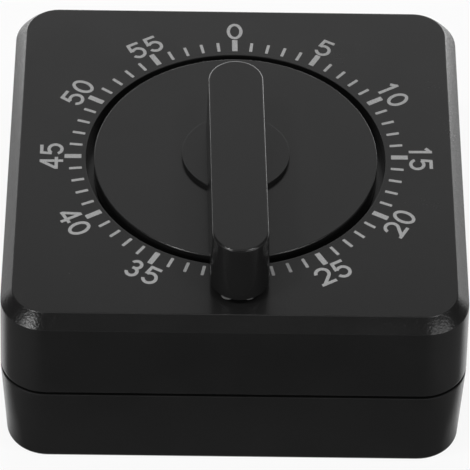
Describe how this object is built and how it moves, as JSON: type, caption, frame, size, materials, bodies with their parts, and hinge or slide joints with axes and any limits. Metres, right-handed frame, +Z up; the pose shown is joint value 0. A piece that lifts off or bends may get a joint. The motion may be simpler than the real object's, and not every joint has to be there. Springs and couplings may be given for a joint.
{
  "type": "mechanical kitchen timer",
  "caption": "Square black mechanical kitchen timer: bevelled case, printed minute scale, turning disc with a tall pointer bar, and a spring-driven wheel train with a bell",
  "frame": {"origin": "centre of the underside of the case, on the surface that the timer stands on", "axes": "+Z up along the dial axis, +Y to the back where the scale's zero is, -Y to the front where the long end of the bar points at rest, +X to the right"},
  "size_m": [0.0706, 0.0706, 0.0416],
  "materials": {
    "case_plastic": "satin",
    "dial_plastic": "satin",
    "scale_ink": "matte",
    "screw_steel": "satin",
    "wheel_brass": "satin",
    "plate_steel": "satin",
    "spring_steel": "satin",
    "arbor_steel": "satin",
    "bell_chrome": "polished"
  },
  "bodies": {
    "case": {"upper_shell": "case_plastic", "rear_cover": "case_plastic", "cover_screws": "screw_steel", "mainspring": "spring_steel", "spring_stud": "arbor_steel", "front_plate": "plate_steel", "back_plate": "plate_steel", "plate_pillars": "wheel_brass", "pillar_screws": "screw_steel", "movement_screws": "screw_steel", "arbor_bush": "wheel_brass", "hammer_spring": "spring_steel", "bell": "bell_chrome", "bell_post": "arbor_steel", "bell_screw": "screw_steel"},
    "dial": {"dial_disc": "dial_plastic", "pointer_bar": "dial_plastic", "main_arbor": "arbor_steel", "main_wheel": "wheel_brass", "ratchet_wheel": "arbor_steel", "click": "wheel_brass", "trip_cam": "wheel_brass"},
    "second": {"second_wheel": "wheel_brass", "second_arbor": "arbor_steel", "ringing_star": "wheel_brass"},
    "third": {"third_wheel": "wheel_brass", "third_arbor": "arbor_steel"},
    "escape": {"escape_wheel": "wheel_brass", "escape_arbor": "arbor_steel"},
    "pallet": {"pallet_lever": "wheel_brass", "pallet_pins": "arbor_steel", "pallet_arbor": "arbor_steel"},
    "hammer": {"hammer_arbor": "arbor_steel", "hammer_verge": "arbor_steel", "cam_follower": "arbor_steel", "hammer_arm": "arbor_steel", "hammer_head": "arbor_steel"}
  },
  "joints": [
    {"name": "dial_turn", "type": "hinge", "parent": "case", "child": "dial", "pos_m": [0, 0, 0.018], "axis": [0, 0, -1], "range_deg": [-180, 174], "deforming": ["mainspring"]},
    {"name": "second_turn", "type": "hinge", "parent": "case", "child": "second", "pos_m": [0.01301, 0.01301, 0.018], "axis": [0, 0, -1], "continuous": true},
    {"name": "third_turn", "type": "hinge", "parent": "case", "child": "third", "pos_m": [0.00009, 0.0184, 0.018], "axis": [0, 0, -1], "continuous": true},
    {"name": "escape_turn", "type": "hinge", "parent": "case", "child": "escape", "pos_m": [-0.00972, 0.01562, 0.018], "axis": [0, 0, -1], "continuous": true},
    {"name": "pallet_rock", "type": "hinge", "parent": "case", "child": "pallet", "pos_m": [-0.01497, 0.01069, 0.018], "axis": [0, 0, 1], "range_deg": [-3, 3]},
    {"name": "hammer_lift", "type": "hinge", "parent": "case", "child": "hammer", "pos_m": [0.01838, -0.00083, 0.018], "axis": [0, 0, 1], "range_deg": [0, 8], "stiffness_Nm_per_rad": 0.002, "springref_deg": -2.86, "deforming": ["hammer_spring"]}
  ],
  "couplings": [
    {"joint": "second_turn", "follows": "dial_turn", "ratio": -10.5},
    {"joint": "third_turn", "follows": "dial_turn", "ratio": 94.5},
    {"joint": "escape_turn", "follows": "dial_turn", "ratio": -708.75}
  ]
}
